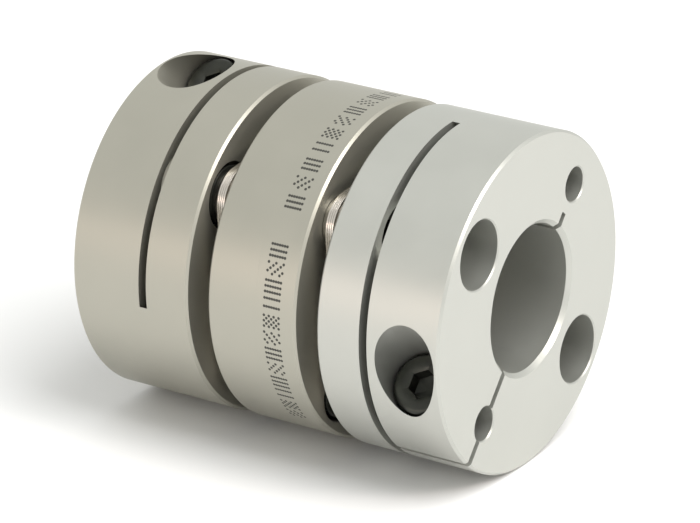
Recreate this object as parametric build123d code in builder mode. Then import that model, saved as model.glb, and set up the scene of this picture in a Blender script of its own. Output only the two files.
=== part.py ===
"""Double-flex disc coupling for 16 mm servo shafts.

Two identical clamp hubs stand back to back with a spacer between them.
A pack of thin steel discs joins each hub to the spacer: its four ears are
bolted in turn to the hub and to the spacer, so it drives stiffly and bends
freely.  The coupling's axis is X, hub B is at the +X end, and the origin is
the middle of the spacer.
"""
import os
from math import cos, radians, sin

from build123d import *

os.makedirs("parts", exist_ok=True)

# --- driving dimensions, in millimetres and degrees ---------------------------
outside_dia = 39.0
hub_length = 15.5
spacer_length = 11.5
gap = 2.75
shaft_dia = 16.0
spacer_bore_dia = 18.0
edge_chamfer = 0.2
bore_chamfer = 0.5
inner_bore_chamfer = 0.3
hole_chamfer = 0.15

bolt_circle_radius = 14.5
access_hole_dia = 7.9
head_side_angle = 139.0

clamp_ring_length = 9.0
relief_width = 1.0
relief_depth_past_axis = 14.5
slit_width = 0.85
notch_reach = 11.0
ring_relief_dia = 16.7
ring_relief_offset = 0.7

screw_dia = 4.0
screw_head_dia = 7.0
screw_head_height = 4.0
hex_across_flats = 3.0
hex_depth = 2.0
head_rounding = 0.55
tip_chamfer = 0.4
thread_clearance = 0.05

clamp_screw_length = 14.0
clamp_screw_offset = 13.9
clamp_screw_inset = 4.25
clamp_seat_depth = 4.8
clamp_counterbore_dia = 7.5
clamp_clearance_dia = 4.4

disc_bolt_length = 8.0
leaf_count = 4
leaf_thickness = 0.25
ear_radius = 3.75
leaf_bore_dia = 18.4
leaf_hole_dia = 4.3
spacing_ring_dia = 6.0
spacing_ring_hole_dia = 4.1
ring_clearance = 0.1

# --- places that follow from them ----------------------------------------------
outside_radius = outside_dia / 2
spacer_end = spacer_length / 2
flange_face = spacer_end + gap
hub_end = flange_face + hub_length
ring_face = hub_end - clamp_ring_length
relief_face = ring_face - relief_width
pack_thickness = leaf_count * leaf_thickness
pack_middle = spacer_end + gap / 2
ring_thickness = (gap - pack_thickness) / 2 - ring_clearance
cutter_length = 2 * outside_dia

# Every plane across the coupling has its x axis on the side from which all
# the screws are reached, so seen from its own end each hub is the same part.
head_side = (0, cos(radians(head_side_angle)), sin(radians(head_side_angle)))


def cross_plane(end, distance):
    """Plane across the axis, facing the hub end (-1 for hub A, +1 for hub B)."""
    return Plane(origin=(end * distance, 0, 0), x_dir=head_side, z_dir=(end, 0, 0))


def clamp_screw_plane(end, height):
    """Plane across the clamp screw, facing its head, at a height above the slit."""
    face = cross_plane(end, hub_end - clamp_screw_inset)
    centre = face.from_local_coords((height, clamp_screw_offset, 0))
    return Plane(origin=centre, x_dir=face.z_dir, z_dir=head_side)


def chamfer_rims(solid, plane, size, rim_radius):
    """Break the round edges of one radius that lie in a plane across the axis."""
    level = solid.edges().filter_by_position(
        Axis.X, plane.origin.X - 0.01, plane.origin.X + 0.01)
    rims = [e for e in level if e.geom_type == GeomType.CIRCLE and abs(e.radius - rim_radius) < 0.01]
    chamfer(rims, length=size)


def make_hub(end, label):
    """Flange and clamp ring, turned from one bar and parted by a saw cut."""
    inner = cross_plane(end, flange_face)
    outer = cross_plane(end, hub_end)
    middle_of_relief = (relief_face + ring_face) / 2
    with BuildPart() as hub:
        with BuildSketch(inner):
            Circle(outside_radius)
            Circle(shaft_dia / 2, mode=Mode.SUBTRACT)
        extrude(amount=hub_length)
        chamfer_rims(hub, inner, edge_chamfer, outside_radius)
        chamfer_rims(hub, outer, edge_chamfer, outside_radius)
        chamfer_rims(hub, inner, inner_bore_chamfer, shaft_dia / 2)
        chamfer_rims(hub, outer, bore_chamfer, shaft_dia / 2)

        # Holes for the heads of the spacer's bolts, which are also the way to
        # them, and holes tapped for the hub's own bolts, drilled right through.
        with BuildSketch(inner):
            with Locations((bolt_circle_radius, 0), (-bolt_circle_radius, 0)):
                Circle(access_hole_dia / 2)
            with Locations((0, bolt_circle_radius), (0, -bolt_circle_radius)):
                Circle(screw_dia / 2)
        extrude(amount=hub_length, mode=Mode.SUBTRACT)
        chamfer_rims(hub, outer, hole_chamfer, access_hole_dia / 2)
        chamfer_rims(hub, outer, hole_chamfer, screw_dia / 2)

        # The ring is bored out a little away from its slit, so that only the
        # jaws beside the slit keep the shaft's own radius.
        with BuildSketch(outer):
            with Locations((0, -ring_relief_offset)):
                Circle(ring_relief_dia / 2)
        extrude(amount=-clamp_ring_length, mode=Mode.SUBTRACT)
        with BuildSketch(outer):
            with Locations((0, -ring_relief_offset)):
                Circle(ring_relief_dia / 2 + bore_chamfer)
        with BuildSketch(outer.offset(-bore_chamfer)):
            with Locations((0, -ring_relief_offset)):
                Circle(ring_relief_dia / 2)
        loft(mode=Mode.SUBTRACT)

        # The relief cut frees the ring from the flange, all but one segment.
        with BuildSketch(cross_plane(end, middle_of_relief)):
            with Locations((0, -relief_depth_past_axis)):
                Rectangle(cutter_length, cutter_length, align=(Align.CENTER, Align.MIN))
        extrude(amount=relief_width / 2, both=True, mode=Mode.SUBTRACT)

        # The slit lets the ring close on the shaft, and the notch across the
        # bore from it makes the ring bend there.
        with BuildSketch(outer):
            Rectangle(slit_width, cutter_length, align=(Align.CENTER, Align.MIN))
            Rectangle(slit_width, notch_reach, align=(Align.CENTER, Align.MAX))
        extrude(amount=-clamp_ring_length, mode=Mode.SUBTRACT)

        # The clamp screw's counterbore, clearance hole and tapped hole.
        with BuildSketch(clamp_screw_plane(end, clamp_seat_depth)):
            Circle(clamp_counterbore_dia / 2)
        extrude(amount=outside_radius, mode=Mode.SUBTRACT)
        with BuildSketch(clamp_screw_plane(end, 0)):
            Circle(clamp_clearance_dia / 2)
        extrude(amount=clamp_seat_depth, mode=Mode.SUBTRACT)
        with BuildSketch(clamp_screw_plane(end, 0)):
            Circle(screw_dia / 2 + thread_clearance)
        extrude(amount=-outside_radius, mode=Mode.SUBTRACT)
    hub.part.label = label
    export_step(hub.part, f"parts/{label}.step")
    return hub.part


def make_spacer(label):
    """Ring between the packs, tapped on one diameter and open on the other."""
    with BuildPart() as spacer:
        with BuildSketch(cross_plane(1, 0)):
            Circle(outside_radius)
            Circle(spacer_bore_dia / 2, mode=Mode.SUBTRACT)
        extrude(amount=spacer_length / 2, both=True)
        for end in (-1, 1):
            chamfer_rims(spacer, cross_plane(end, spacer_end), edge_chamfer, outside_radius)
            chamfer_rims(spacer, cross_plane(end, spacer_end), inner_bore_chamfer, spacer_bore_dia / 2)
        with BuildSketch(cross_plane(1, 0)):
            with Locations((bolt_circle_radius, 0), (-bolt_circle_radius, 0)):
                Circle(screw_dia / 2)
            with Locations((0, bolt_circle_radius), (0, -bolt_circle_radius)):
                Circle(access_hole_dia / 2)
        extrude(amount=spacer_length / 2, both=True, mode=Mode.SUBTRACT)
        for end in (-1, 1):
            chamfer_rims(spacer, cross_plane(end, spacer_end), hole_chamfer, access_hole_dia / 2)
    spacer.part.label = label
    export_step(spacer.part, f"parts/{label}.step")
    return spacer.part


def make_cap_screws(seats, length, label):
    """M4 socket head cap screws, each with its head standing on a seat plane."""
    with BuildPart() as screws:
        for seat in seats:
            head_top = seat.offset(screw_head_height)
            with BuildSketch(seat):
                Circle(screw_head_dia / 2)
            extrude(amount=screw_head_height)
            top_rim = screws.edges(Select.LAST).group_by(Axis(seat.origin, seat.z_dir))[-1]
            fillet(top_rim, radius=head_rounding)
            with BuildSketch(head_top):
                RegularPolygon(hex_across_flats / 2, 6, major_radius=False)
            extrude(amount=-hex_depth, mode=Mode.SUBTRACT)
            with BuildSketch(seat):
                Circle(screw_dia / 2)
            extrude(amount=-length)
            tip = screws.edges(Select.LAST).group_by(Axis(seat.origin, seat.z_dir))[0]
            chamfer(tip, length=tip_chamfer)
    screws.part.label = label
    export_step(screws.part, f"parts/{label}.step")
    return screws.part


def pair_of_places(on_head_side):
    """The two bolt places on one diameter of the bolt circle."""
    if on_head_side:
        return [(bolt_circle_radius, 0), (-bolt_circle_radius, 0)]
    return [(0, bolt_circle_radius), (0, -bolt_circle_radius)]


def disc_bolt_seats(end, into_hub):
    """Seat planes of the two bolts that hold a pack to its hub or to the spacer."""
    head_level = spacer_end if into_hub else flange_face
    facing = -end if into_hub else end
    across = cross_plane(end, head_level)
    places = pair_of_places(on_head_side=not into_hub)
    centres = [across.from_local_coords((x, y, 0)) for x, y in places]
    return [Plane(origin=centre, x_dir=head_side, z_dir=(facing, 0, 0)) for centre in centres]


def make_spacing_rings(end, level, on_head_side, label):
    """Pair of ground steel rings that hold the pack off the parts beside it."""
    with BuildPart() as rings:
        with BuildSketch(cross_plane(end, level)):
            with Locations(*pair_of_places(on_head_side)):
                Circle(spacing_ring_dia / 2)
                Circle(spacing_ring_hole_dia / 2, mode=Mode.SUBTRACT)
        extrude(amount=ring_thickness)
    rings.part.label = label
    export_step(rings.part, f"parts/{label}.step")
    return rings.part


def make_leaf(end, index, label):
    """One stamped spring-steel disc: a square ring with an ear at each corner."""
    level = pack_middle - pack_thickness / 2 + index * leaf_thickness
    with BuildPart() as leaf:
        with BuildSketch(cross_plane(end, level)):
            with PolarLocations(bolt_circle_radius, 4):
                Circle(ear_radius)
            make_hull()
            Circle(leaf_bore_dia / 2, mode=Mode.SUBTRACT)
            with PolarLocations(bolt_circle_radius, 4):
                Circle(leaf_hole_dia / 2, mode=Mode.SUBTRACT)
        extrude(amount=leaf_thickness)
    leaf.part.label = label
    export_step(leaf.part, f"parts/{label}.step")
    return leaf.part


# --- the assembly ----------------------------------------------------------------
spacer_side_level = spacer_end
hub_side_level = flange_face - ring_thickness

pieces = [make_spacer("spacer")]
for end, letter in ((-1, "a"), (1, "b")):
    pieces.append(make_hub(end, f"hub_{letter}"))
    clamp_seat = clamp_screw_plane(end, clamp_seat_depth)
    pieces.append(make_cap_screws([clamp_seat], clamp_screw_length, f"clamp_screw_{letter}"))
    hub_seats = disc_bolt_seats(end, into_hub=True)
    pieces.append(make_cap_screws(hub_seats, disc_bolt_length, f"hub_bolts_{letter}"))
    spacer_seats = disc_bolt_seats(end, into_hub=False)
    pieces.append(make_cap_screws(spacer_seats, disc_bolt_length, f"spacer_bolts_{letter}"))
    pieces.append(make_spacing_rings(end, hub_side_level, False, f"hub_collars_{letter}"))
    pieces.append(make_spacing_rings(end, spacer_side_level, False, f"hub_washers_{letter}"))
    pieces.append(make_spacing_rings(end, spacer_side_level, True, f"spacer_collars_{letter}"))
    pieces.append(make_spacing_rings(end, hub_side_level, True, f"spacer_washers_{letter}"))
    for index in range(leaf_count):
        pieces.append(make_leaf(end, index, f"disc_{letter}_{index + 1}"))

coupling = Compound(label="disc_coupling", children=pieces)
box = coupling.bounding_box()
print(f"overall {box.size.X:.2f} x {box.size.Y:.2f} x {box.size.Z:.2f} mm, {len(pieces)} pieces")
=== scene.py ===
"""Looks of the double-flex disc coupling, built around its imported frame."""

from math import cos, pi, radians, sin, tau

import bmesh
import bpy
from mathutils import Matrix, Vector


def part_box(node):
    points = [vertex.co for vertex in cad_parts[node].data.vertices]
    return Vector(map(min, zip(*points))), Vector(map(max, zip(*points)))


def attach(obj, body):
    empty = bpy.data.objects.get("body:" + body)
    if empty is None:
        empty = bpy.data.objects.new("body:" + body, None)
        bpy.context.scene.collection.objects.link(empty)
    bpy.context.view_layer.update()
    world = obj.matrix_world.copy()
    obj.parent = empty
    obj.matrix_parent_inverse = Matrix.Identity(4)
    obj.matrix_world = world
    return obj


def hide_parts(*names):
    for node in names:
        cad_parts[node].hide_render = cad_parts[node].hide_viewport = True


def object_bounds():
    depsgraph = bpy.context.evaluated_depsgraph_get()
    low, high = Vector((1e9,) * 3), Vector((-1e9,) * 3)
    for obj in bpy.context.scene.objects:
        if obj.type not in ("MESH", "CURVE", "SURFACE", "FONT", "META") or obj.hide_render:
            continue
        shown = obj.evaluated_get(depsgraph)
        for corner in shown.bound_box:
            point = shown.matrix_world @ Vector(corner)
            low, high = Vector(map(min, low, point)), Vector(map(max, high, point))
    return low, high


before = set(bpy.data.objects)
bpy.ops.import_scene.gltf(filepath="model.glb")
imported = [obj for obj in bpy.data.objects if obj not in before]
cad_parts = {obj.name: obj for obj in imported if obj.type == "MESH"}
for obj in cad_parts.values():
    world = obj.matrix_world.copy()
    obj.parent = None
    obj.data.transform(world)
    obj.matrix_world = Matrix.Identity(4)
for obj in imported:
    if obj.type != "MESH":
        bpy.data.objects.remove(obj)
cad_low, cad_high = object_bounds()

# ------------------------------------------------------------------ clamp hubs
# Each hub is one piece of aluminium bar, turned, drilled and slit, with a saw
# cut that frees its clamp ring from the flange.  The two are the same part,
# turned end for end, and are clear anodised after machining.
MM = 0.001
ENDS = {"a": -1, "b": 1}
HEAD_SIDE = radians(139)          # row angle, from +Y towards +Z, of the screw heads
TURNING_STEPS = 288               # facets around a turned surface
HOLE_STEPS = 96                   # facets around a large hole
SMALL_HOLE_STEPS = 64
WELD = 1e-5                       # mm, points of an outline this close are one
NO_AREA = 1e-9                    # mm2, a face this small is none
SCRAP = 1e-4                      # mm, edges this short are left over from a cut
EDGE_BREAK = 0.035                # mm, what tumbling leaves on a machined edge
SHARP_ANGLE = radians(28)         # edges sharper than this are broken
CREASE_ANGLE = radians(50)        # and those sharper than this stay creased

flange_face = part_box("hub_b")[0].x / MM
hub_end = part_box("hub_b")[1].x / MM
outside_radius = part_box("hub_b")[1].z / MM
shaft_radius = 8.0
rim_chamfer = 0.28
bore_chamfer = 0.5
inner_bore_chamfer = 0.3
hole_chamfer = 0.15
bolt_circle = 14.5
access_radius = 3.95
tapped_radius = 2.0
ring_length = 9.0
relief_width = 1.0
relief_past_axis = 14.5
ring_face = hub_end - ring_length
relief_face = ring_face - relief_width
score_depth = 0.012
score_run = 0.04                  # along the axis, from the bar's surface to the score's floor
slit_width = 0.85
notch_reach = 11.0                # from the axis
ring_relief_radius = 8.35
ring_relief_offset = 0.7
clamp_offset = 13.9
clamp_from_end = 4.25
clamp_level = hub_end - clamp_from_end
clamp_seat = 4.8
counterbore_radius = 3.75
counterbore_steps = 128
clamp_clearance_radius = 2.2
clamp_tapped_radius = 2.05


def across(end):
    """From a part's own frame, x to the screw heads and z outwards, to the row's, in metres."""
    heads = Vector((0, cos(HEAD_SIDE), sin(HEAD_SIDE)))
    out = Vector((end, 0, 0))
    return Matrix((heads, out.cross(heads), out)).transposed().to_4x4() @ Matrix.Scale(MM, 4)


def mesh_piece(name, bm):
    """A new object in the scene from a bmesh, which it frees."""
    mesh = bpy.data.meshes.new(name)
    bm.to_mesh(mesh)
    bm.free()
    piece = bpy.data.objects.new(name, mesh)
    bpy.context.scene.collection.objects.link(piece)
    return piece


def turned(name, profile, steps=TURNING_STEPS):
    """Solid of revolution about z from a closed outline of (radius, height) points."""
    bm = bmesh.new()
    corners = [bm.verts.new((r, 0, z)) for r, z in profile]
    outline = [bm.edges.new((a, b)) for a, b in zip(corners, corners[1:] + corners[:1])]
    bmesh.ops.spin(bm, geom=corners + outline, axis=(0, 0, 1), cent=(0, 0, 0),
                   angle=tau, steps=steps, use_merge=True)
    bmesh.ops.remove_doubles(bm, verts=bm.verts, dist=WELD)
    flat = [f for f in bm.faces if f.calc_area() < NO_AREA]
    bmesh.ops.delete(bm, geom=flat, context="FACES")
    bmesh.ops.recalc_face_normals(bm, faces=bm.faces)
    return mesh_piece(name, bm)


def drill(radius, low, high, mouth=0.0, steps=HOLE_STEPS):
    """Cutter for a round hole from low to high, its mouth at high opened by a chamfer."""
    above = 1.0
    outline = [(0, low), (radius, low), (radius, high - mouth),
               (radius + mouth + above * (mouth > 0), high + above), (0, high + above)]
    return turned("drill", outline, steps)


def saw(low, high):
    """Cutter for a straight cut: a block between two corners."""
    bm = bmesh.new()
    bmesh.ops.create_cube(bm, size=1.0)
    low, high = Vector(low), Vector(high)
    size = high - low
    for v in bm.verts:
        v.co = (low + high) / 2 + Vector(c * s for c, s in zip(v.co, size))
    return mesh_piece("saw", bm)


def evaluated_mesh(piece):
    """The piece's mesh with its modifiers done, as plain data."""
    graph = bpy.context.evaluated_depsgraph_get()
    return bpy.data.meshes.new_from_object(piece.evaluated_get(graph))


def cut(piece, cutter, place=Matrix()):
    """Takes the cutter's shape out of the piece, and removes the cutter."""
    cutter.data.transform(place)
    difference = piece.modifiers.new("cut", "BOOLEAN")
    difference.operation = "DIFFERENCE"
    difference.solver = "EXACT"
    difference.object = cutter
    result = evaluated_mesh(piece)
    piece.modifiers.clear()
    piece.data = result
    bpy.data.objects.remove(cutter)


def break_edges(piece, width=EDGE_BREAK):
    """Rounds every sharp edge a little, then shades the piece smooth between them."""
    bm = bmesh.new()
    bm.from_mesh(piece.data)
    bmesh.ops.remove_doubles(bm, verts=bm.verts, dist=SCRAP)
    bmesh.ops.dissolve_degenerate(bm, edges=bm.edges, dist=SCRAP)
    bm.normal_update()
    if width:
        sharp = [e for e in bm.edges if e.is_manifold and e.calc_face_angle(0) > SHARP_ANGLE]
        bmesh.ops.bevel(bm, geom=sharp, offset=width, offset_type="OFFSET", segments=1,
                        profile=0.5, affect="EDGES", clamp_overlap=True)
    for face in bm.faces:
        face.smooth = True
    bm.to_mesh(piece.data)
    bm.free()
    piece.data.set_sharp_from_angle(angle=CREASE_ANGLE)
    # Large faces keep their own normals, so that only the broken edges look round.
    weighted = piece.modifiers.new("weighted", "WEIGHTED_NORMAL")
    weighted.keep_sharp = True
    result = evaluated_mesh(piece)
    piece.modifiers.clear()
    piece.data = result


def hub_blank():
    """The turned blank, with the shallow score that guides the relief cut."""
    r, inner, outer = outside_radius, flange_face, hub_end
    score = r - score_depth
    return turned("hub", [
        (shaft_radius + inner_bore_chamfer, inner), (r - rim_chamfer, inner),
        (r, inner + rim_chamfer), (r, relief_face), (score, relief_face + score_run),
        (score, ring_face - score_run), (r, ring_face), (r, outer - rim_chamfer),
        (r - rim_chamfer, outer), (shaft_radius + bore_chamfer, outer),
        (shaft_radius, outer - bore_chamfer), (shaft_radius, inner + inner_bore_chamfer)])


def hub():
    """One hub in its own frame, in millimetres, with every hole and cut in it."""
    piece = hub_blank()
    beyond = outside_radius + 5       # cutters that reach this far are clear of the part
    clear_of_face = flange_face - 2
    overlap = 1                       # of cutters that follow one another in one hole
    for side in (1, -1):
        cut(piece, drill(access_radius, clear_of_face, hub_end, hole_chamfer),
            Matrix.Translation((side * bolt_circle, 0, 0)))
        cut(piece, drill(tapped_radius, clear_of_face, hub_end, hole_chamfer, SMALL_HOLE_STEPS),
            Matrix.Translation((0, side * bolt_circle, 0)))
    cut(piece, saw((-beyond, -relief_past_axis, relief_face), (beyond, beyond, ring_face)))
    middle_of_relief = (relief_face + ring_face) / 2
    # The ring is bored out a little away from its slit, and keeps the shaft's
    # radius only at the jaws.
    cut(piece, drill(ring_relief_radius, middle_of_relief, hub_end, bore_chamfer, TURNING_STEPS),
        Matrix.Translation((0, -ring_relief_offset, 0)))
    cut(piece, saw((-slit_width / 2, -notch_reach, middle_of_relief),
                   (slit_width / 2, beyond, beyond)))
    # The clamp screw's axis runs along local x, so its cutters are laid over.
    lie_over = Matrix.Translation((0, clamp_offset, clamp_level)) @ Matrix.Rotation(pi / 2, 4, "Y")
    cut(piece, drill(counterbore_radius, clamp_seat, beyond, steps=counterbore_steps), lie_over)
    cut(piece, drill(clamp_clearance_radius, 0, clamp_seat + overlap, steps=SMALL_HOLE_STEPS),
        lie_over)
    cut(piece, drill(clamp_tapped_radius, -beyond, overlap, steps=SMALL_HOLE_STEPS), lie_over)
    return piece


def linear(colour):
    """sRGB hex, such as "c8c6bf", as linear RGBA."""
    parts = [int(colour[i:i + 2], 16) / 255 for i in (0, 2, 4)]
    return (*[c / 12.92 if c <= 0.04045 else ((c + 0.055) / 1.055) ** 2.4 for c in parts], 1.0)


def add_node(tree, kind, inputs=None, **settings):
    """Adds a node, and fills its inputs, by name or number, from values or sockets."""
    node = tree.nodes.new(kind)
    for name, value in settings.items():
        setattr(node, name, value)
    for name, value in (inputs or {}).items():
        if isinstance(value, bpy.types.NodeSocket):
            tree.links.new(value, node.inputs[name])
        else:
            node.inputs[name].default_value = value
    return node


def new_material(name):
    """An empty node material with its output, as (material, tree, output node)."""
    material = bpy.data.materials.new(name)
    material.use_nodes = True
    tree = material.node_tree
    tree.nodes.clear()
    return material, tree, add_node(tree, "ShaderNodeOutputMaterial")


def blend(tree, factor, dark, light):
    """A colour between two sRGB colours, as a socket."""
    first, second, result = 6, 7, 2     # the colour sockets of a Mix node share their names
    mix = add_node(tree, "ShaderNodeMix", {"Factor": factor, first: linear(dark),
                                           second: linear(light)}, data_type="RGBA")
    return mix.outputs[result]


def anodised_aluminium(name, dull, bright):
    """Clear anodised turned aluminium: satin, faintly warm, with fine lathe lines round it."""
    line_pitch = 0.16 * MM      # real feed marks are near 0.05 mm, too fine to show
    line_depth = 0.003 * MM
    cloud_size = 7 * MM         # slow change of tone that rinsing and handling leave
    material, tree, out = new_material(name)
    place = add_node(tree, "ShaderNodeTexCoord").outputs["Object"]
    split = add_node(tree, "ShaderNodeSeparateXYZ", {0: place})
    flat = add_node(tree, "ShaderNodeCombineXYZ", {"Y": split.outputs["Y"], "Z": split.outputs["Z"]})
    radius = add_node(tree, "ShaderNodeVectorMath", {0: flat.outputs[0]}, operation="LENGTH")
    rings = add_node(tree, "ShaderNodeCombineXYZ",
                     {"X": split.outputs["X"], "Y": radius.outputs["Value"]})
    lines = add_node(tree, "ShaderNodeTexNoise",
                     {"Vector": rings.outputs[0], "Scale": 1 / line_pitch, "Detail": 3.0})
    clouds = add_node(tree, "ShaderNodeTexNoise",
                      {"Vector": place, "Scale": 1 / cloud_size, "Detail": 4.0, "Roughness": 0.6})
    tint = blend(tree, clouds.outputs["Fac"], dull, bright)
    satin = add_node(tree, "ShaderNodeMapRange", {"Value": clouds.outputs["Fac"], "From Min": 0.3,
                                                  "From Max": 0.7, "To Min": 0.38, "To Max": 0.44})
    marks = add_node(tree, "ShaderNodeBump", {"Height": lines.outputs["Fac"], "Strength": 0.35,
                                              "Distance": line_depth})
    metal = add_node(tree, "ShaderNodeBsdfPrincipled",
                     {"Base Color": tint, "Metallic": 0.82,
                      "Roughness": satin.outputs["Result"], "Normal": marks.outputs["Normal"]})
    tree.links.new(metal.outputs["BSDF"], out.inputs["Surface"])
    return material


pattern_hub = hub()
break_edges(pattern_hub)
# Hub B takes a lighter copy of the same aluminium. This is a painted highlight for the brighter sheen
# that falls on it, not a different finish.
satin_aluminium = anodised_aluminium("clear_anodised_aluminium", "a9a79c", "b0aea3")
lit_copy_aluminium = anodised_aluminium("lit_copy_clear_anodised_aluminium", "b9bab4", "c1c2bc")
for letter, end in ENDS.items():
    piece = bpy.data.objects.new(f"clamp_hub_{letter}", pattern_hub.data.copy())
    bpy.context.scene.collection.objects.link(piece)
    piece.data.transform(across(end))
    piece.data.materials.append(lit_copy_aluminium if letter == "b" else satin_aluminium)
    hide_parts(f"hub_{letter}")
    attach(piece, f"hub_{letter}_body")
bpy.data.objects.remove(pattern_hub)

# -------------------------------------------------------------------- the spacer
# The solid ring between the packs, of the same bar and finish as the hubs.  It
# is tapped on the diameter of the screw heads, and open on the other diameter
# for the heads of the hubs' bolts.
spacer_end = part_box("spacer")[1].x / MM
spacer_bore = 9.0
tool_line_level = 0.5             # where the turning tool stopped and started again
tool_line_floor = 0.02            # half the width of the line's floor
tool_line_mouth = 0.08            # and half its width at the surface
past_middle = 0.5                 # how far the cutter from each face reaches past the middle


def spacer_ring():
    """The spacer in its own frame, in millimetres."""
    r, far, near = outside_radius, -spacer_end, spacer_end
    score, line = r - score_depth, tool_line_level
    piece = turned("spacer_ring", [
        (spacer_bore + inner_bore_chamfer, far), (r - rim_chamfer, far), (r, far + rim_chamfer),
        (r, line - tool_line_mouth), (score, line - tool_line_floor),
        (score, line + tool_line_floor), (r, line + tool_line_mouth),
        (r, near - rim_chamfer), (r - rim_chamfer, near), (spacer_bore + inner_bore_chamfer, near),
        (spacer_bore, near - inner_bore_chamfer), (spacer_bore, far + inner_bore_chamfer)])
    for side in (1, -1):
        for face in (Matrix(), Matrix.Rotation(pi, 4, "X")):
            cut(piece, drill(access_radius, -past_middle, spacer_end, hole_chamfer),
                Matrix.Translation((0, side * bolt_circle, 0)) @ face)
            cut(piece, drill(tapped_radius, -past_middle, spacer_end, hole_chamfer, SMALL_HOLE_STEPS),
                Matrix.Translation((side * bolt_circle, 0, 0)) @ face)
    return piece


spacer_piece = spacer_ring()
break_edges(spacer_piece)
spacer_piece.data.materials.append(satin_aluminium)
spacer_piece.data.transform(across(1))
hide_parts("spacer")
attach(spacer_piece, "spacer_body")

# --------------------------------------------------------------------- disc packs
# Each pack is four discs stamped from bright rolled spring steel: square rings
# with a round ear at each corner.  Seen edge on, they are a stack of fine lines.
leaf_thickness = 0.25
leaves_per_side = 2
leaf_gap = 0.02                   # mm, the rounded edges of the stamping part the leaves a little
leaf_edge = 0.03
pack_middle = (spacer_end + flange_face) / 2
ear_radius = 3.75
leaf_bore = 9.2
leaf_bore_steps = 128
leaf_hole = 2.15
leaf_hole_steps = 32
ears = 4
ear_steps = 20


def leaf_blank():
    """One disc lying in the xy plane, with its stamped edges slightly rounded."""
    curve = bpy.data.curves.new("leaf", "CURVE")
    curve.dimensions = "2D"
    curve.fill_mode = "BOTH"
    curve.bevel_depth = leaf_edge
    curve.bevel_resolution = 1
    curve.extrude = (leaf_thickness - leaf_gap) / 2 - curve.bevel_depth
    curve.offset = -curve.bevel_depth

    def loop(points):
        spline = curve.splines.new("POLY")
        spline.points.add(len(points) - 1)
        for spot, (x, y) in zip(spline.points, points):
            spot.co = (x, y, 0, 1)
        spline.use_cyclic_u = True

    def circle(radius, x, y, steps):
        loop([(x + radius * cos(tau * i / steps), y + radius * sin(tau * i / steps))
              for i in range(steps)])

    outline = []
    for ear in range(ears):
        middle = ear * pi / 2
        centre = Vector((cos(middle), sin(middle))) * bolt_circle
        for step in range(ear_steps + 1):
            angle = middle - pi / 4 + step / ear_steps * pi / 2
            outline.append((centre.x + ear_radius * cos(angle), centre.y + ear_radius * sin(angle)))
    loop(outline)
    circle(leaf_bore, 0, 0, leaf_bore_steps)
    for ear in range(ears):
        middle = ear * pi / 2
        circle(leaf_hole, bolt_circle * cos(middle), bolt_circle * sin(middle), leaf_hole_steps)
    piece = bpy.data.objects.new("leaf", curve)
    bpy.context.scene.collection.objects.link(piece)
    flat = bpy.data.objects.new("leaf_blank", evaluated_mesh(piece))
    bpy.context.scene.collection.objects.link(flat)
    bpy.data.objects.remove(piece)
    break_edges(flat, 0)
    return flat


def spring_steel():
    """Bright rolled stainless spring steel: near mirror, with a faint straw tint."""
    grain = 0.05 * MM
    material, tree, out = new_material("bright_rolled_spring_steel")
    place = add_node(tree, "ShaderNodeTexCoord").outputs["Object"]
    stretch = add_node(tree, "ShaderNodeMapping", {"Vector": place, "Scale": (1.0, 1.0, 0.15)})
    noise = add_node(tree, "ShaderNodeTexNoise",
                     {"Vector": stretch.outputs[0], "Scale": 1 / grain, "Detail": 2.0})
    tint = blend(tree, noise.outputs["Fac"], "c4bdb4", "dcd6ce")
    sheen = add_node(tree, "ShaderNodeMapRange",
                     {"Value": noise.outputs["Fac"], "To Min": 0.14, "To Max": 0.3})
    metal = add_node(tree, "ShaderNodeBsdfPrincipled",
                     {"Base Color": tint, "Metallic": 1.0, "Roughness": sheen.outputs["Result"]})
    tree.links.new(metal.outputs["BSDF"], out.inputs["Surface"])
    return material


def new_tree(name, sizes):
    """A geometry tree with named inputs, as (tree, its input node's outputs)."""
    tree = bpy.data.node_groups.new(name, "GeometryNodeTree")
    tree.interface.new_socket("Geometry", in_out="OUTPUT", socket_type="NodeSocketGeometry")
    for size, kind in sizes.items():
        tree.interface.new_socket(size, in_out="INPUT", socket_type=f"NodeSocket{kind}")
    return tree, add_node(tree, "NodeGroupInput").outputs


def grow(name, tree, values):
    """A plain mesh piece made by a geometry tree from the values of its named inputs."""
    piece = bpy.data.objects.new(name, bpy.data.meshes.new(name))
    bpy.context.scene.collection.objects.link(piece)
    nodes = piece.modifiers.new("nodes", "NODES")
    nodes.node_group = tree
    for socket in tree.interface.items_tree:
        if socket.in_out == "INPUT":
            nodes[socket.identifier] = values[socket.name]
    piece.data = evaluated_mesh(piece)
    piece.modifiers.clear()
    return piece


def end_tree(tree, geometry, material):
    """Closes a geometry tree: instances made real, and the material set."""
    real = add_node(tree, "GeometryNodeRealizeInstances", {0: geometry})
    dressed = add_node(tree, "GeometryNodeSetMaterial",
                       {"Geometry": real.outputs[0], "Material": material})
    add_node(tree, "NodeGroupOutput", {0: dressed.outputs[0]})


def stack_tree():
    """Copies one disc up the axis: Count discs, the first at Level, Pitch apart."""
    tree, given = new_tree("disc_stack", {"Disc": "Object", "Count": "Int", "Level": "Float",
                                          "Pitch": "Float", "Material": "Material"})
    start = add_node(tree, "ShaderNodeCombineXYZ", {"Z": given["Level"]})
    step = add_node(tree, "ShaderNodeCombineXYZ", {"Z": given["Pitch"]})
    line = add_node(tree, "GeometryNodeMeshLine",
                    {"Count": given["Count"], "Start Location": start.outputs[0],
                     "Offset": step.outputs[0]})
    disc = add_node(tree, "GeometryNodeObjectInfo", {"Object": given["Disc"]})
    copies = add_node(tree, "GeometryNodeInstanceOnPoints",
                      {"Points": line.outputs[0], "Instance": disc.outputs["Geometry"]})
    end_tree(tree, copies.outputs[0], given["Material"])
    return tree


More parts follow.
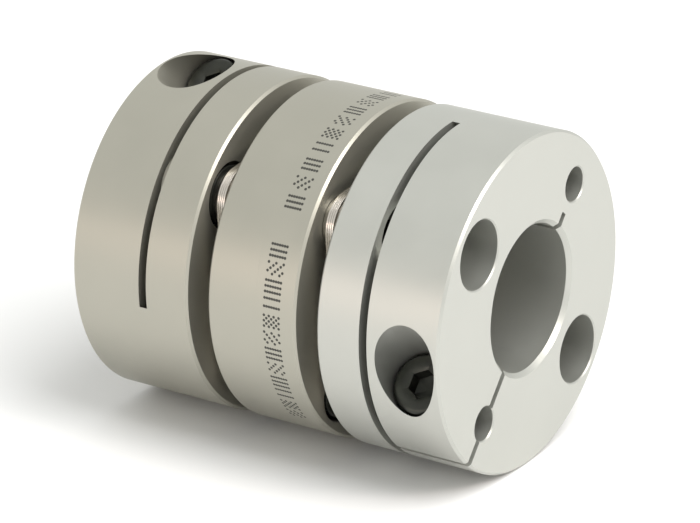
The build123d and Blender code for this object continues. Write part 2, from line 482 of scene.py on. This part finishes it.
one_leaf = leaf_blank()
bright_steel = spring_steel()
disc_stack = stack_tree()
for letter, end in ENDS.items():
    for side, first in (("spacer", 0), ("hub", leaves_per_side)):
        level = pack_middle + (first - leaves_per_side + 0.5) * leaf_thickness
        piece = grow(f"{side}_side_discs_{letter}", disc_stack,
                     {"Disc": one_leaf, "Count": leaves_per_side, "Level": level,
                      "Pitch": leaf_thickness, "Material": bright_steel})
        piece.data.transform(across(end))
        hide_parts(*[f"disc_{letter}_{first + i + 1}" for i in range(leaves_per_side)])
        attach(piece, f"pack_{letter}_{side}_side")
bpy.data.objects.remove(one_leaf)

# -------------------------------------------------------- spacing collars and washers
# Ground steel rings on the pack's bolts.  A collar stands between the pack and
# the part it is bolted to, and a washer of the same size under the bolt's head.
ring_radius = 3.0
ring_bore = 2.05
ring_thickness = 0.775
ring_edge = 0.08
ring_steps = 96


def ground_steel():
    """Ground, hardened steel: smooth grey metal with fine marks round the rim."""
    mark_pitch = 0.08 * MM
    material, tree, out = new_material("ground_steel")
    place = add_node(tree, "ShaderNodeTexCoord").outputs["Object"]
    stretch = add_node(tree, "ShaderNodeMapping", {"Vector": place, "Scale": (1.0, 0.08, 0.08)})
    noise = add_node(tree, "ShaderNodeTexNoise",
                     {"Vector": stretch.outputs[0], "Scale": 1 / mark_pitch, "Detail": 2.0})
    tint = blend(tree, noise.outputs["Fac"], "8f8a83", "a8a49c")
    sheen = add_node(tree, "ShaderNodeMapRange",
                     {"Value": noise.outputs["Fac"], "To Min": 0.2, "To Max": 0.36})
    metal = add_node(tree, "ShaderNodeBsdfPrincipled",
                     {"Base Color": tint, "Metallic": 1.0, "Roughness": sheen.outputs["Result"]})
    tree.links.new(metal.outputs["BSDF"], out.inputs["Surface"])
    return material


def pair_tree():
    """Two copies of a part on one diameter of the bolt circle, at Level along the axis."""
    tree, given = new_tree("pair_on_bolt_circle",
                           {"Part": "Object", "Bolt Circle": "Float", "Level": "Float", "Turn": "Float",
                            "Flip": "Float", "Material": "Material"})
    one = add_node(tree, "ShaderNodeCombineXYZ", {"X": given["Bolt Circle"], "Z": given["Level"]})
    opposite = add_node(tree, "ShaderNodeMath", {0: given["Bolt Circle"], 1: -1.0},
                        operation="MULTIPLY")
    other = add_node(tree, "ShaderNodeCombineXYZ", {"X": opposite.outputs[0], "Z": given["Level"]})
    line = add_node(tree, "GeometryNodeMeshLine",
                    {"Count": 2, "Start Location": one.outputs[0], "Offset": other.outputs[0]},
                    mode="END_POINTS")
    flip = add_node(tree, "ShaderNodeCombineXYZ", {"X": given["Flip"]})
    part = add_node(tree, "GeometryNodeObjectInfo", {"Object": given["Part"]})
    copies = add_node(tree, "GeometryNodeInstanceOnPoints",
                      {"Points": line.outputs[0], "Instance": part.outputs["Geometry"],
                       "Rotation": flip.outputs[0]})
    turn = add_node(tree, "ShaderNodeCombineXYZ", {"Z": given["Turn"]})
    turned_pair = add_node(tree, "GeometryNodeTransform",
                           {"Geometry": copies.outputs[0], "Rotation": turn.outputs[0]})
    end_tree(tree, turned_pair.outputs[0], given["Material"])
    return tree


def place_pair(name, part, level, on_head_side, flip, material, end):
    """A pair of one part on the bolt circle, placed in the row's frame."""
    piece = grow(name, pair_on_bolt_circle,
                 {"Part": part, "Bolt Circle": bolt_circle, "Level": level,
                  "Turn": 0.0 if on_head_side else pi / 2, "Flip": pi if flip else 0.0,
                  "Material": material})
    piece.data.transform(across(end))
    return piece


pair_on_bolt_circle = pair_tree()
grey_steel = ground_steel()
ring = turned("ring", [
    (ring_bore + ring_edge, 0), (ring_radius - ring_edge, 0), (ring_radius, ring_edge),
    (ring_radius, ring_thickness - ring_edge), (ring_radius - ring_edge, ring_thickness),
    (ring_bore + ring_edge, ring_thickness), (ring_bore, ring_thickness - ring_edge),
    (ring_bore, ring_edge)], ring_steps)
break_edges(ring, 0)
beside_hub = flange_face - ring_thickness
for letter, end in ENDS.items():
    for node, level, on_head_side, body in (
            ("hub_collars", beside_hub, False, f"hub_{letter}_body"),
            ("hub_washers", spacer_end, False, f"hub_{letter}_body"),
            ("spacer_collars", spacer_end, True, "spacer_body"),
            ("spacer_washers", beside_hub, True, "spacer_body")):
        piece = place_pair(f"ground_{node}_{letter}", ring, level, on_head_side, False,
                           grey_steel, end)
        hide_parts(f"{node}_{letter}")
        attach(piece, body)
bpy.data.objects.remove(ring)

# ------------------------------------------------------------------ cap screws
# M4 socket head cap screws, cold headed, with rolled threads, a knurled head
# and a broached hexagon, blackened and oiled.  Eight short ones hold the packs
# and two longer ones close the clamp rings.
screw_radius = 2.0
thread_pitch = 0.7
thread_depth = 0.43
thread_flat = 0.125               # the wave's overshoot, cut off flat at crests and roots
thread_end = 0.25                 # below the head
tip_radius = 1.45
tip_slope = 1.1                   # mm of radius to each mm of length
fillet_height = 0.1
fillet_width = 0.12
screw_head_radius = 3.5
screw_head_height = 4.0
seat_edge_width = 0.25            # the bevel round the underside of the head
seat_edge_height = 0.2
band_inset = 0.04                 # plain band between that bevel and the knurl
knurl_start = 0.35
knurl_end_below_rounding = 0.2
knurl_ridges = 36
knurl_depth = 0.13
half_across_flats = 1.5
hexagon_depth = 2.0
hexagon_point = 0.35              # depth of the drill point below the hexagon
head_rounding = 0.55
rounding_inset = 0.02
countersink_radius = 2.1
countersink_depth = 0.32
around_screw = 144
rows_per_thread = 6
disc_bolt_length = 8.0
clamp_screw_length = 14.0


def cap_screw(name, length):
    """A screw standing on z = 0 under its head, its shank going down, in millimetres."""
    def thread(z):
        def radius(angle):
            turn = (z / thread_pitch - angle / tau) % 1.0
            wave = abs(2 * turn - 1) * (1 + 2 * thread_flat) - thread_flat
            flank = min(max(wave, 0.0), 1.0)
            crest = screw_radius - thread_depth * (1 - flank)
            return min(crest, tip_radius + (z + length) * tip_slope)
        return radius

    def knurl(angle):
        return screw_head_radius - knurl_depth * abs(sin(knurl_ridges * angle / 2))

    def hexagon(angle):
        return half_across_flats / cos((angle + pi / 6) % (pi / 3) - pi / 6)

    def round_(radius):
        return lambda angle: radius

    rows = []
    count = int(length / thread_pitch * rows_per_thread)
    for i in range(count + 1):
        z = -length + i / count * (length - thread_end)
        rows.append((z, thread(z)))
    top, edge = screw_head_height, head_rounding
    rows += [(-fillet_height, round_(screw_radius)),
             (0.0, round_(screw_radius + fillet_width)),
             (0.0, round_(screw_head_radius - seat_edge_width)),
             (seat_edge_height, round_(screw_head_radius - band_inset)),
             (knurl_start, knurl),
             (top - head_rounding - knurl_end_below_rounding, knurl)]
    rows += [(top - edge + edge * sin(a),
              round_(screw_head_radius - edge + edge * cos(a) - rounding_inset))
             for a in (0.0, pi / 8, pi / 4, 3 * pi / 8, pi / 2)]
    rows += [(top, round_(countersink_radius)),
             (top - countersink_depth, hexagon),
             (top - hexagon_depth, hexagon)]

    bm = bmesh.new()
    angles = [tau * i / around_screw for i in range(around_screw)]
    loops = [[bm.verts.new((r(a) * cos(a), r(a) * sin(a), z)) for a in angles]
             for z, r in rows]
    for lower, upper in zip(loops, loops[1:]):
        for i in range(around_screw):
            j = (i + 1) % around_screw
            bm.faces.new((lower[i], lower[j], upper[j], upper[i]))
    tip = bm.verts.new((0, 0, -length))
    floor = bm.verts.new((0, 0, top - hexagon_depth - hexagon_point))
    for i in range(around_screw):
        j = (i + 1) % around_screw
        bm.faces.new((tip, loops[0][j], loops[0][i]))
        bm.faces.new((floor, loops[-1][i], loops[-1][j]))
    piece = mesh_piece(name, bm)
    break_edges(piece, 0)
    return piece


def black_oxide():
    """Blackened steel under a film of oil: nearly black, softly shiny, greyer where it is handled."""
    bloom_size = 1.2 * MM
    grain_size = 0.15 * MM
    grain_depth = 0.004 * MM
    material, tree, out = new_material("black_oxide_steel")
    place = add_node(tree, "ShaderNodeTexCoord").outputs["Object"]
    noise = add_node(tree, "ShaderNodeTexNoise",
                     {"Vector": place, "Scale": 1 / bloom_size, "Detail": 5.0})
    tint = blend(tree, noise.outputs["Fac"], "2b2c2b", "45463f")
    sheen = add_node(tree, "ShaderNodeMapRange",
                     {"Value": noise.outputs["Fac"], "To Min": 0.26, "To Max": 0.42})
    grain = add_node(tree, "ShaderNodeTexNoise",
                     {"Vector": place, "Scale": 1 / grain_size, "Detail": 2.0})
    skin = add_node(tree, "ShaderNodeBump", {"Height": grain.outputs["Fac"], "Strength": 0.3,
                                             "Distance": grain_depth})
    metal = add_node(tree, "ShaderNodeBsdfPrincipled",
                     {"Base Color": tint, "Metallic": 0.75, "Roughness": sheen.outputs["Result"],
                      "Normal": skin.outputs["Normal"]})
    tree.links.new(metal.outputs["BSDF"], out.inputs["Surface"])
    return material


blackened_steel = black_oxide()
disc_bolt = cap_screw("disc_bolt", disc_bolt_length)
for letter, end in ENDS.items():
    for node, level, on_head_side, flip, body in (
            ("hub_bolts", spacer_end, False, True, f"hub_{letter}_body"),
            ("spacer_bolts", flange_face, True, False, "spacer_body")):
        piece = place_pair(f"black_{node}_{letter}", disc_bolt, level, on_head_side, flip,
                           blackened_steel, end)
        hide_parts(f"{node}_{letter}")
        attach(piece, body)
bpy.data.objects.remove(disc_bolt)

for letter, end in ENDS.items():
    piece = cap_screw(f"black_clamp_screw_{letter}", clamp_screw_length)
    piece.data.materials.append(blackened_steel)
    seat = Matrix.Translation((clamp_seat, clamp_offset, clamp_level)) @ Matrix.Rotation(pi / 2, 4, "Y")
    piece.data.transform(across(end) @ seat)
    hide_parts(f"clamp_screw_{letter}")
    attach(piece, f"clamp_screw_{letter}_body")

# ------------------------------------------------------------------ printed marks
# Two runs of small ink-jet marks round the spacer, in black ink that stands a
# hundredth of a millimetre proud.  Each mark is a block of five dots by seven,
# filled with bars, hatching or a chequer, and stands for no letter or number.
dot_pitch = 0.32
dot_radius = 0.17
dot_crown = 0.8                   # share of the radius that is flat on top
dot_steps = 10
ink_height = 0.01
dots_across = 5
dots_along = 7


def ink_dot():
    """One low dot of ink, standing a little into the surface, in metres."""
    dot = turned("ink_dot", [(0, -ink_height), (dot_radius, -ink_height), (dot_radius, 0),
                             (dot_radius * dot_crown, ink_height), (0, ink_height)], dot_steps)
    dot.data.transform(Matrix.Scale(MM, 4))
    return dot


def marks_tree():
    """A run of dot-matrix marks round x, from First Angle, each Mark Pitch past the last."""
    tree, given = new_tree("dot_matrix_marks",
                           {"Dot": "Object", "Marks": "Int", "First Angle": "Float",
                            "Mark Pitch": "Float", "Level": "Float", "Radius": "Float",
                            "Dot Pitch": "Float", "Material": "Material"})

    def math(operation, *values):
        return add_node(tree, "ShaderNodeMath", dict(enumerate(values)), operation=operation).outputs[0]

    block = dots_across * dots_along
    # Half a step is added before a division is rounded down, against rounding errors.
    index = add_node(tree, "GeometryNodeInputIndex").outputs[0]
    mark = math("FLOOR", math("DIVIDE", math("ADD", index, 0.5), block))
    place = math("SUBTRACT", index, math("MULTIPLY", mark, block))
    column = math("FLOOR", math("DIVIDE", math("ADD", place, 0.5), dots_along))
    row = math("SUBTRACT", place, math("MULTIPLY", column, dots_along))
    # Slant and spacing change from mark to mark, so that neighbours differ.
    slant = math("MODULO", mark, 3)
    spacing = math("ADD", math("MODULO", mark, 2), 2)
    hatch = math("MODULO", math("ADD", column, math("MULTIPLY", row, slant)), spacing)
    inked = math("LESS_THAN", hatch, 0.5)

    dot_angle = math("DIVIDE", given["Dot Pitch"], given["Radius"])
    offset = math("MULTIPLY", math("SUBTRACT", column, (dots_across - 1) / 2), dot_angle)
    run = math("ADD", given["First Angle"], math("MULTIPLY", mark, given["Mark Pitch"]))
    angle = math("ADD", run, offset)
    along = math("MULTIPLY", math("SUBTRACT", row, (dots_along - 1) / 2), given["Dot Pitch"])
    spot = add_node(tree, "ShaderNodeCombineXYZ",
                    {"X": math("ADD", given["Level"], along),
                     "Y": math("MULTIPLY", given["Radius"], math("COSINE", angle)),
                     "Z": math("MULTIPLY", given["Radius"], math("SINE", angle))})
    points = add_node(tree, "GeometryNodeMeshLine", {"Count": math("MULTIPLY", given["Marks"], block)})
    placed = add_node(tree, "GeometryNodeSetPosition",
                      {"Geometry": points.outputs[0], "Position": spot.outputs[0]})
    outwards = add_node(tree, "ShaderNodeCombineXYZ", {"X": math("SUBTRACT", angle, pi / 2)})
    dot = add_node(tree, "GeometryNodeObjectInfo", {"Object": given["Dot"]})
    dots = add_node(tree, "GeometryNodeInstanceOnPoints",
                    {"Points": placed.outputs[0], "Selection": inked, "Instance": dot.outputs["Geometry"],
                     "Rotation": outwards.outputs[0]})
    end_tree(tree, dots.outputs[0], given["Material"])
    return tree


def marking_ink():
    """Black solvent ink, dried matt and a little thin."""
    material, tree, out = new_material("black_marking_ink")
    ink = add_node(tree, "ShaderNodeBsdfPrincipled", {"Base Color": linear("34342f"), "Roughness": 0.55})
    tree.links.new(ink.outputs["BSDF"], out.inputs["Surface"])
    return material


dot = ink_dot()
dot_matrix_marks = marks_tree()
black_ink = marking_ink()
for name, marks, first, last, level in (("lower_marks", 12, 156.6, 221.8, 2.7),
                                        ("upper_marks", 10, 140.2, 77.0, 2.9)):
    piece = grow(name, dot_matrix_marks,
                 {"Dot": dot, "Marks": marks, "First Angle": radians(first),
                  "Mark Pitch": radians((last - first) / (marks - 1)), "Level": level * MM,
                  "Radius": outside_radius * MM, "Dot Pitch": dot_pitch * MM, "Material": black_ink})
    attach(piece, "spacer_body")
bpy.data.objects.remove(dot)

# ---------------------------------------------------------------- table and light
# A white sheet in a light tent that is white all round.  The strongest of three
# soft boxes hangs overhead, a long one stands low at the front left, and a small
# one is high on the right.
camera_azimuth = radians(32.56)
camera_elevation = radians(22.40)
camera_left = 19.84               # mm, all three from the middle of the near end face
camera_rise = 4.62
camera_distance = 479.1
camera_data = bpy.data.cameras.new("camera")
camera_data.lens = 223.57
camera_data.sensor_width = 36.0
camera_data.clip_start = 0.01
camera = bpy.data.objects.new("camera", camera_data)
bpy.context.scene.collection.objects.link(camera)
right = Vector((cos(camera_azimuth), sin(camera_azimuth), 0))
back = Vector((sin(camera_azimuth) * cos(camera_elevation),
               -cos(camera_azimuth) * cos(camera_elevation), sin(camera_elevation)))
up = back.cross(right)
near_face_centre = Vector((cad_high.x, 0, 0))
camera.location = (near_face_centre - right * camera_left * MM + up * camera_rise * MM
                   + back * camera_distance * MM)
camera.rotation_mode = "QUATERNION"
camera.rotation_quaternion = Matrix((right, up, back)).transposed().to_quaternion()
bpy.context.scene.camera = camera


def soft_box(name, place, size, watts, colour, aim=(0, 0, 0)):
    """A rectangular lamp that faces the aim point."""
    lamp = bpy.data.lights.new(name, "AREA")
    lamp.shape = "RECTANGLE"
    lamp.size, lamp.size_y = size
    lamp.energy = watts
    lamp.color = linear(colour)[:3]
    box = bpy.data.objects.new(name, lamp)
    box.location = place
    box.rotation_mode = "QUATERNION"
    box.rotation_quaternion = (Vector(aim) - Vector(place)).to_track_quat("-Z", "Y")
    bpy.context.scene.collection.objects.link(box)


soft_box("front_left_box", (-0.16, -0.60, 0.04), (0.40, 0.22), 0.50, "ffe9df")
soft_box("overhead_box", (0.34, -0.06, 0.60), (0.45, 0.45), 4.0, "ffffff", (0, -0.02, -0.02))
soft_box("right_box", (0.56, 0.02, 0.40), (0.14, 0.14), 1.1, "fff1ea")

world = bpy.data.worlds.new("tent")
world.use_nodes = True
world.node_tree.nodes["Background"].inputs["Color"].default_value = linear("f1f2ef")
world.node_tree.nodes["Background"].inputs["Strength"].default_value = 1.0
bpy.context.scene.world = world

sheet_reach = 2.5                 # m, from its middle to its edges
bm = bmesh.new()
bmesh.ops.create_grid(bm, x_segments=1, y_segments=1, size=sheet_reach)
sheet = mesh_piece("white_sheet", bm)
sheet.location.z = cad_low.z
white_paper, tree, out = new_material("white_paper")
paper = add_node(tree, "ShaderNodeBsdfPrincipled", {"Base Color": linear("e8e8e8"), "Roughness": 0.9})
tree.links.new(paper.outputs["BSDF"], out.inputs["Surface"])
sheet.data.materials.append(white_paper)
bpy.context.scene.view_settings.view_transform = "Standard"
